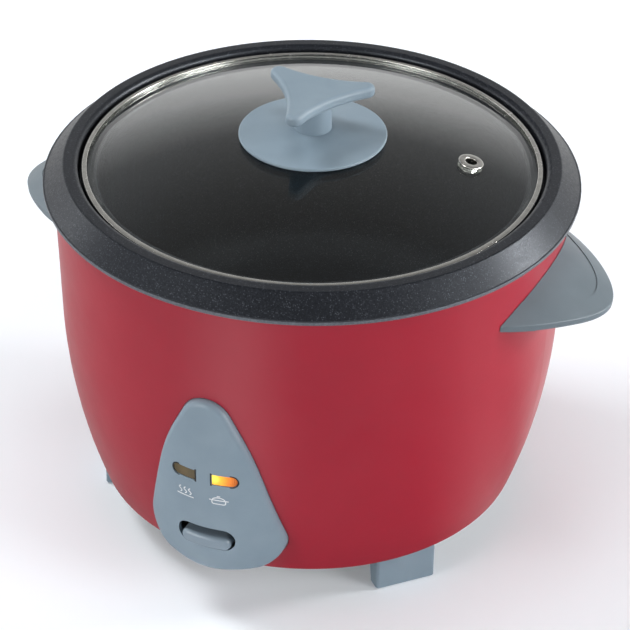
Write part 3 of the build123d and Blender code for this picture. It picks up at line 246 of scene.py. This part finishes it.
def non_stick():
    """Dark sprayed coat with fine pale specks, and a painted highlight: a paler band on the rolled lip.
    """
    look = Shader("non_stick")
    look.set(Specular_IOR_Level=0.55, Specular_Tint=(0.84, 0.91, 1.0, 1.0))
    specks = look.add("ShaderNodeTexVoronoi")
    specks.inputs["Scale"].default_value = 1400
    look.link(look.place, specks.inputs["Vector"])
    near = look.span(specks.outputs["Distance"], 1.0, 0.0, 0.25, 0.55)
    pick = look.add("ShaderNodeSeparateColor")
    look.link(specks.outputs["Color"], pick.inputs["Color"])
    chosen = look.span(pick.outputs["Red"], 0.0, 1.0, 0.40, 0.95)
    ground = look.ramp(
        look.noise(1500, 3.0), (0.35, (0.004, 0.0046, 0.0062)), (0.65, (0.012, 0.0132, 0.0175))
    )
    pale = look.ramp(pick.outputs["Green"], (0.2, (0.022, 0.0245, 0.031)), (0.9, (0.076, 0.082, 0.097)))
    coat = look.mix(look.product(near, chosen), ground, pale)
    # Painted highlight: paler grey on the rolled lip stands in for the light its bead catches
    painted_sheen = look.ramp(look.noise(900), (0.35, (0.105, 0.114, 0.130)), (0.65, (0.145, 0.156, 0.175)))
    look.colour(look.mix(painted_lip_highlight(look), coat, painted_sheen))
    look.rough(look.span(look.noise(700), 0.30, 0.44))
    look.bump(look.noise(1300, 2.0), 0.00006, 0.6)
    return look


def clear_glass():
    """Toughened glass with a slight green cast; light passes straight through for shadows."""
    look = Shader("clear_glass")
    look.set(Transmission_Weight=1.0, IOR=1.48)
    look.colour(look.ramp(look.noise(30), (0.3, (0.93, 0.965, 0.955)), (0.7, (0.96, 0.98, 0.972))))
    look.rough(look.span(look.noise(40), 0.0, 0.015))
    passing = look.add("ShaderNodeBsdfTransparent")
    passing.inputs["Color"].default_value = (0.92, 0.95, 0.94, 1)
    path = look.add("ShaderNodeLightPath")
    mix = look.add("ShaderNodeMixShader")
    look.link(path.outputs["Is Shadow Ray"], mix.inputs["Fac"])
    look.link(look.bsdf.outputs["BSDF"], mix.inputs[1])
    look.link(passing.outputs["BSDF"], mix.inputs[2])
    look.link(mix.outputs["Shader"], look.output.inputs["Surface"])
    return look


def lens(name, stops, centre, glow):
    """Clear amber lens: colour falls off round the lamp behind it, over fine moulded ribs."""
    look = Shader(name)
    look.set(Specular_IOR_Level=0.6, Coat_Weight=0.5, Coat_Roughness=0.06)
    away = look.add("ShaderNodeVectorMath", operation="DISTANCE")
    look.link(look.place, away.inputs[0])
    away.inputs[1].default_value = centre
    near = look.span(away.outputs["Value"], 1.0, 0.0, 0.0008, 0.0115)
    shade = look.ramp(near, *stops)
    look.colour(shade)
    look.rough(look.span(look.noise(500), 0.10, 0.18))
    if glow:
        look.link(shade, look.bsdf.inputs["Emission Color"])
        look.set(Emission_Strength=glow)
    ribs = look.add("ShaderNodeTexWave", wave_type="BANDS", bands_direction="X")
    ribs.inputs["Scale"].default_value = 330
    look.link(look.place, ribs.inputs["Vector"])
    look.bump(ribs.outputs["Fac"], 0.00012, 0.5)
    return look


GREY_DARK = (0.215, 0.283, 0.340)
GREY_LIGHT = (0.236, 0.305, 0.362)
lens_low, lens_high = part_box("cook_lens")
lens_middle = (lens_low + lens_high) / 2
lamp_spot = (lens_low.x + 0.0020, lens_low.y, lens_middle.z + 0.0008)
dull_spot = (-lens_middle.x, lens_low.y, lens_middle.z)
looks = {
    "red_paint": red_paint(),
    "non_stick": non_stick(),
    "lid_glass": clear_glass(),
    "bright_steel": plated("bright_steel", (0.70, 0.69, 0.66), (0.80, 0.79, 0.76), 0.14, depth=0.000004),
    "rolled_steel": plated("rolled_steel", (0.66, 0.65, 0.61), (0.74, 0.73, 0.69), 0.2, depth=0.0000004),
    "grey_plastic": moulded("grey_plastic", GREY_DARK, GREY_LIGHT, 0.42),
    # Same grey plastic as the knob and panel, painted darker: shade on the handles, which sit in less
    # light
    "shaded_handle_grey": moulded("shaded_handle_grey", (0.138, 0.172, 0.196), (0.152, 0.188, 0.213), 0.42),
    "button_plastic": moulded("button_plastic", (0.22, 0.28, 0.335), (0.24, 0.30, 0.355), 0.22, 900),
    "warm_lens": lens(
        "warm_lens",
        ((0.0, (0.055, 0.040, 0.018)), (0.6, (0.10, 0.072, 0.030)), (1.0, (0.14, 0.10, 0.045))),
        dull_spot,
        0.0,
    ),
    "cook_lens": lens(
        "cook_lens",
        (
            (0.0, (0.30, 0.060, 0.006)),
            (0.40, (0.72, 0.19, 0.012)),
            (0.75, (0.95, 0.42, 0.02)),
            (1.0, (1.0, 0.80, 0.08)),
        ),
        lamp_spot,
        0.6,
    ),
    "lamp_glass": moulded("lamp_glass", (0.80, 0.45, 0.12), (0.95, 0.62, 0.25), 0.12),
    "liner_aluminium": plated("liner_aluminium", (0.55, 0.55, 0.55), (0.66, 0.66, 0.66), 0.32),
    "cast_aluminium": plated("cast_aluminium", (0.42, 0.42, 0.42), (0.55, 0.55, 0.55), 0.42),
    "element_steel": plated("element_steel", (0.16, 0.15, 0.14), (0.26, 0.24, 0.22), 0.45),
    "plated_steel": plated("plated_steel", (0.46, 0.46, 0.46), (0.58, 0.58, 0.57), 0.30),
    "ferrite": moulded("ferrite", (0.030, 0.030, 0.032), (0.055, 0.055, 0.058), 0.55, 700),
    "board": moulded("board", (0.34, 0.20, 0.07), (0.42, 0.26, 0.10), 0.5, 800),
    "black_plastic": moulded("black_plastic", (0.012, 0.012, 0.013), (0.022, 0.022, 0.024), 0.45),
    "switch_plastic": moulded("switch_plastic", (0.62, 0.58, 0.50), (0.70, 0.66, 0.58), 0.4),
    "brass": plated("brass", (0.55, 0.38, 0.13), (0.68, 0.50, 0.20), 0.24),
    "fuse": moulded("fuse", (0.52, 0.46, 0.32), (0.60, 0.54, 0.40), 0.3),
    "live_sleeve": moulded("live_sleeve", (0.16, 0.02, 0.015), (0.24, 0.03, 0.02), 0.5),
    "heater_sleeve": moulded("heater_sleeve", (0.55, 0.53, 0.47), (0.68, 0.66, 0.60), 0.7, 600),
    "neutral_sleeve": moulded("neutral_sleeve", (0.02, 0.04, 0.16), (0.03, 0.06, 0.22), 0.5),
    "earth_sleeve": moulded("earth_sleeve", (0.10, 0.20, 0.03), (0.16, 0.28, 0.04), 0.5),
}
for part in frame["record"]["subparts"]:
    mesh = nodes[part["node"]].data
    mesh.materials.clear()
    mesh.materials.append(looks[part["material_slot"]].material)
# Handles take the darker copy of the grey plastic, a painted shade
for side in ("left", "right"):
    nodes[f"handle_{side}"].data.materials[0] = looks["shaded_handle_grey"].material


# Printed signs and lens frames laid on the panel's curved face
panel = nodes["control_panel"]
PRINT_LIFT = 0.00006
AHEAD = -0.3


def on_panel(x, z):
    """Point just in front of the panel's face, straight ahead of a place in the front view."""
    _, place, normal, _ = panel.ray_cast((x, AHEAD, z), (0, 1, 0))
    return place + normal * PRINT_LIFT


def add_piece(name, build, look, body="body"):
    mesh = bpy.data.meshes.new(name)
    work = bmesh.new()
    build(work)
    bmesh.ops.recalc_face_normals(work, faces=work.faces)
    work.to_mesh(mesh)
    work.free()
    mesh.materials.append(look.material)
    piece = bpy.data.objects.new(name, mesh)
    scene.collection.objects.link(piece)
    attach(piece, body)
    return piece


def stroke(work, points, width):
    """Flat ribbon of even width along points of the front view, with round ends."""
    half = width / 2
    rails = []
    for i, (x, z) in enumerate(points):
        before = points[max(i - 1, 0)]
        after = points[min(i + 1, len(points) - 1)]
        way = Vector((after[0] - before[0], after[1] - before[1])).normalized()
        side = Vector((-way.y, way.x)) * half
        rails.append((on_panel(x + side.x, z + side.y), on_panel(x - side.x, z - side.y)))
    verts = [(work.verts.new(a), work.verts.new(b)) for a, b in rails]
    for (a, b), (c, d) in zip(verts, verts[1:]):
        work.faces.new((a, b, d, c))
    for x, z in (points[0], points[-1]):
        ring = []
        for step in range(12):
            angle = 2 * pi * step / 12
            ring.append(work.verts.new(on_panel(x + half * cos(angle), z + half * sin(angle))))
        work.faces.new(ring)


def arc(x, z, radius, start, end, steps=14, squash=1.0):
    angles = [radians(start + (end - start) * i / steps) for i in range(steps + 1)]
    return [(x + radius * cos(a), z + radius * squash * sin(a)) for a in angles]


SIGN_Z = lens_middle.z - 0.0117
WARM_X = -0.0098
COOK_X = 0.0076
LINE = 0.00056


def level_line(x, z, half, steps=8):
    return [(x - half + 2 * half * i / steps, z) for i in range(steps + 1)]


def heat_sign(work):
    """Three rising waves over a plate line."""
    for step in (-1, 0, 1):
        x = WARM_X + step * 0.0026
        wave = [(x + 0.0007 * sin(2 * pi * i / 12), SIGN_Z - 0.0009 + 0.0034 * i / 12) for i in range(13)]
        stroke(work, wave, LINE)
    stroke(work, level_line(WARM_X, SIGN_Z - 0.0021, 0.0044), LINE)


def pot_sign(work):
    """Small pot with a brim, a domed lid and its knob."""
    half, drop, bend = 0.0033, 0.0022, 0.0010
    low = SIGN_Z - drop + bend
    sides = [(COOK_X - half, SIGN_Z - 0.0004)]
    sides += arc(COOK_X - half + bend, low, bend, 180, 270, 5)
    sides += arc(COOK_X + half - bend, low, bend, 270, 360, 5)
    sides += [(COOK_X + half, SIGN_Z - 0.0004)]
    stroke(work, sides, LINE)
    stroke(work, level_line(COOK_X, SIGN_Z, 0.0045), LINE)
    stroke(work, arc(COOK_X, SIGN_Z + 0.0001, 0.0030, 12, 168, 14, 0.5), LINE)
    stroke(work, level_line(COOK_X, SIGN_Z + 0.0024, 0.0006, 2), LINE)


white_print = moulded("white_print", (0.74, 0.76, 0.78), (0.82, 0.83, 0.85), 0.45)
add_piece("heat_sign", heat_sign, white_print)
add_piece("pot_sign", pot_sign, white_print)


def lens_frame(side):
    """Thin dark frame round one lens: round outer end, square inner end."""
    gap = 0.00025
    width = 0.0006
    flange = 0.001
    half_x = (lens_high.x - lens_low.x) / 2 - flange
    half_z = (lens_high.z - lens_low.z) / 2 - flange

    def outline(grow):
        reach = half_x + grow
        rise = half_z + grow
        bow = half_x - half_z
        points = [(-reach, -rise), (bow, -rise)]
        points += arc(bow, 0, rise, -75, 75, 10)
        points += [(bow, rise), (-reach, rise)]
        return [(side * (lens_middle.x + x), lens_middle.z + z) for x, z in points]

    def build(work):
        inner = [work.verts.new(on_panel(x, z)) for x, z in outline(gap)]
        outer = [work.verts.new(on_panel(x, z)) for x, z in outline(gap + width)]
        count = len(inner)
        for i in range(count):
            j = (i + 1) % count
            work.faces.new((inner[i], inner[j], outer[j], outer[i]))

    return build


add_piece("warm_lens_frame", lens_frame(-1), looks["black_plastic"])
add_piece("cook_lens_frame", lens_frame(1), looks["black_plastic"])


# Rolled steel of the lid, turned with fine steps so that its bends shine in unbroken lines
LATHE_STEPS = 240


def lathe(work, profile, centre, axis, steps=LATHE_STEPS):
    """Closed profile of (radius, height) points turned round an axis."""
    turn = axis.to_track_quat("Z", "Y").to_matrix()
    rings = []
    for step in range(steps):
        angle = 2 * pi * step / steps
        ring = []
        for radius, height in profile:
            spot = Vector((radius * cos(angle), radius * sin(angle), height))
            ring.append(work.verts.new(centre + turn @ spot))
        rings.append(ring)
    count = len(profile)
    for step in range(steps):
        here, there = rings[step], rings[(step + 1) % steps]
        for i in range(count):
            j = (i + 1) % count
            work.faces.new((here[i], there[i], there[j], here[j]))


def add_turned(name, build, node):
    """Smoothly shaded steel piece that stands for a node of the lid."""
    piece = add_piece(name, build, looks["rolled_steel"], "lid")
    piece.data.polygons.foreach_set("use_smooth", [True] * len(piece.data.polygons))
    piece.data.set_sharp_from_angle(angle=radians(50))
    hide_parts(node)


def rolled_rim(work):
    """Steel channel folded over the edge of the glass."""
    low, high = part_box("lid_rim")
    sheet, bend, width, edge = 0.0008, 0.0011, 0.0028, 0.00035
    outer, inner = high.x, high.x - width
    profile = [(inner, low.z)]
    profile += arc(outer - bend, low.z + bend, bend, -90, 0, 8)
    profile += arc(outer - bend, high.z - bend, bend, 0, 90, 8)
    profile += arc(inner + edge, high.z - edge, edge, 90, 180, 5)
    profile += [(inner, high.z - sheet), (outer - sheet, high.z - sheet)]
    profile += [(outer - sheet, low.z + sheet), (inner, low.z + sheet)]
    lathe(work, profile, Vector((0, 0, 0)), Vector((0, 0, 1)))


def vent_eyelet(work):
    """Pressed eyelet: a rolled flange that dips into the bore, and a flat one under the glass."""
    low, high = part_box("vent_grommet")
    centre = (low + high) / 2
    lean = radians(12.6)
    out = Vector((centre.x, centre.y, 0)).normalized()
    axis = out * sin(lean) + Vector((0, 0, cos(lean)))
    bore, tube, flange, thick, half = 0.0029, 0.0040, 0.0062, 0.0012, 0.0033
    roll = thick / 2
    profile = [(bore, -half)]
    profile += arc(bore + roll, half - roll, roll, 180, 90, 8)
    profile += arc(flange - roll, half - roll, roll, 90, -60, 10)
    profile += [(tube, half - thick), (tube, thick - half)]
    profile += [(flange - 0.0003, thick - half), (flange - 0.0003, -half)]
    lathe(work, profile, centre, axis, 96)


add_turned("rolled_rim", rolled_rim, "lid_rim")
add_turned("vent_eyelet", vent_eyelet, "vent_grommet")


# Coil springs, each a copy of its CAD part with its own mesh, hung on the body that carries it
for name, body in (("sensor_spring", "body"), ("release_spring", "magnet")):
    coil = bpy.data.objects.new(f"{name}_coil", nodes[name].data.copy())
    scene.collection.objects.link(coil)
    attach(coil, body)
    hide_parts(name)
    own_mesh(coil)


# Floor, world and lamps
def either(tree, *sockets):
    """Socket that is on where any of the given ones is."""
    total = sockets[0]
    for socket in sockets[1:]:
        node = tree.nodes.new("ShaderNodeMath")
        node.operation = "MAXIMUM"
        tree.links.new(total, node.inputs[0])
        tree.links.new(socket, node.inputs[1])
        total = node.outputs[0]
    return total


def painted_card_reflection(look):
    """Brightness painted into the floor that only reflections see, by turn from the camera: a painted
    reflection of reflector cards round the object.
    """
    shape = look.add("ShaderNodeMapping")
    shape.inputs["Rotation"].default_value = (0, 0, radians(90 - CAMERA_AZIMUTH))
    look.link(look.place, shape.inputs["Vector"])
    round_about = look.add("ShaderNodeTexGradient", gradient_type="RADIAL")
    look.link(shape.outputs["Vector"], round_about.inputs["Vector"])
    stops = [(0.5 + turn / 360, (level, level, level)) for turn, level in PAINTED_CARD_LEVELS]
    return look.ramp(round_about.outputs["Fac"], *stops)


def make_floor():
    """White sheet. Its lit part keeps the shadow, and a glow that grows outwards keeps the rest white."""
    bpy.ops.mesh.primitive_plane_add(size=30, location=(0, 0, 0))
    floor = bpy.context.object
    floor.name = "floor"
    look = Shader("floor")
    look.set(Roughness=0.9, Specular_IOR_Level=0.1)
    look.colour(look.ramp(look.noise(3), (0.3, (0.80, 0.845, 0.89)), (0.7, (0.82, 0.865, 0.91))))
    path = look.add("ShaderNodeLightPath")
    seen = either(look.tree, path.outputs["Is Camera Ray"], path.outputs["Is Transmission Ray"])
    lift = look.span(look.length(look.place), FLOOR_GLOW, FAR_GLOW, GLOW_START, GLOW_END)
    glow = look.add("ShaderNodeEmission")
    look.link(look.product(seen, lift), glow.inputs["Strength"])
    total = look.add("ShaderNodeAddShader")
    look.link(look.bsdf.outputs["BSDF"], total.inputs[0])
    look.link(glow.outputs["Emission"], total.inputs[1])
    # Painted reflection: glossy rays see these bands in the floor instead of its lit sheet
    painted_reflections = look.add("ShaderNodeEmission")
    painted_reflections.inputs["Strength"].default_value = PAINTED_CARD_POWER
    look.link(painted_card_reflection(look), painted_reflections.inputs["Color"])
    mirrored = look.add("ShaderNodeMixShader")
    look.link(path.outputs["Is Glossy Ray"], mirrored.inputs["Fac"])
    look.link(total.outputs["Shader"], mirrored.inputs[1])
    look.link(painted_reflections.outputs["Emission"], mirrored.inputs[2])
    look.link(mirrored.outputs["Shader"], look.output.inputs["Surface"])
    floor.data.materials.append(look.material)


def make_world():
    """Soft grey surroundings that rise to white at the horizon, where a view meets them."""
    world = bpy.data.worlds.new("world")
    scene.world = world
    world.use_nodes = True
    tree = world.node_tree
    back = tree.nodes["Background"]
    way = tree.nodes.new("ShaderNodeTexCoord")
    parts = tree.nodes.new("ShaderNodeSeparateXYZ")
    tree.links.new(way.outputs["Generated"], parts.inputs["Vector"])
    ramp = tree.nodes.new("ShaderNodeValToRGB")
    stops = ((0.0, 1.0), (0.22, 1.0), (0.48, 0.34), (1.0, 0.14))
    points = ramp.color_ramp.elements
    while len(points) < len(stops):
        points.new(0.5)
    for point, (where, level) in zip(points, stops):
        point.position = where
        point.color = (level, level, level, 1)
    tree.links.new(parts.outputs["Z"], ramp.inputs["Fac"])
    tree.links.new(ramp.outputs["Color"], back.inputs["Color"])
    path = tree.nodes.new("ShaderNodeLightPath")
    rays = [path.outputs[f"Is {kind} Ray"] for kind in ("Camera", "Glossy", "Transmission")]
    level = tree.nodes.new("ShaderNodeMapRange")
    level.inputs["To Min"].default_value = WORLD_FILL
    level.inputs["To Max"].default_value = 1.0
    tree.links.new(either(tree, *rays), level.inputs["Value"])
    tree.links.new(level.outputs["Result"], back.inputs["Strength"])


def add_lamp(name, turn, rise, distance, size, power, mirrored=True):
    """Soft box aimed at the middle of the body; turn is measured from the camera's side.

    One that isn't mirrored leaves no bright patch in the glass.
    """
    azimuth = radians(CAMERA_AZIMUTH + turn)
    aim = Vector((0, 0, 0.11))
    level = cos(radians(rise))
    way = Vector((sin(azimuth) * level, -cos(azimuth) * level, sin(radians(rise))))
    data = bpy.data.lights.new(name, "AREA")
    data.shape = "RECTANGLE"
    data.size, data.size_y = size
    data.energy = power
    lamp = bpy.data.objects.new(name, data)
    lamp.location = aim + way * distance
    lamp.visible_glossy = mirrored
    lamp.visible_transmission = mirrored
    lamp.rotation_euler = way.to_track_quat("Z", "Y").to_euler()
    scene.collection.objects.link(lamp)


FLOOR_GLOW = 0.11
FAR_GLOW = 0.9
GLOW_START = 0.2
GLOW_END = 1.5
WORLD_FILL = 0.26
# Levels of the painted reflection bands in the floor, by turn from the camera
PAINTED_CARD_POWER = 2.0
PAINTED_CARD_LEVELS = (
    (-180, 0.50),
    (-110, 0.25),
    (-70, 0.16),
    (-48, 0.14),
    (-27, 0.50),
    (-6, 0.06),
    (40, 0.04),
    (66, 0.22),
    (84, 0.16),
    (108, 0.44),
    (180, 0.50),
)
make_floor()
make_world()
add_lamp("left_front_box", -52, 16, 1.6, (0.7, 0.7), 10)
add_lamp("right_front_box", 60, 18, 1.6, (0.7, 0.7), 14)
add_lamp("left_strip", -112, 16, 1.5, (0.35, 0.6), 1.2)
add_lamp("right_strip", 96, 21, 1.5, (0.3, 0.4), 11)
add_lamp("left_back_box", -112, 50, 1.9, (0.6, 0.6), 21, False)
add_lamp("top_box", 180, 89, 2.4, (0.9, 0.9), 12, False)
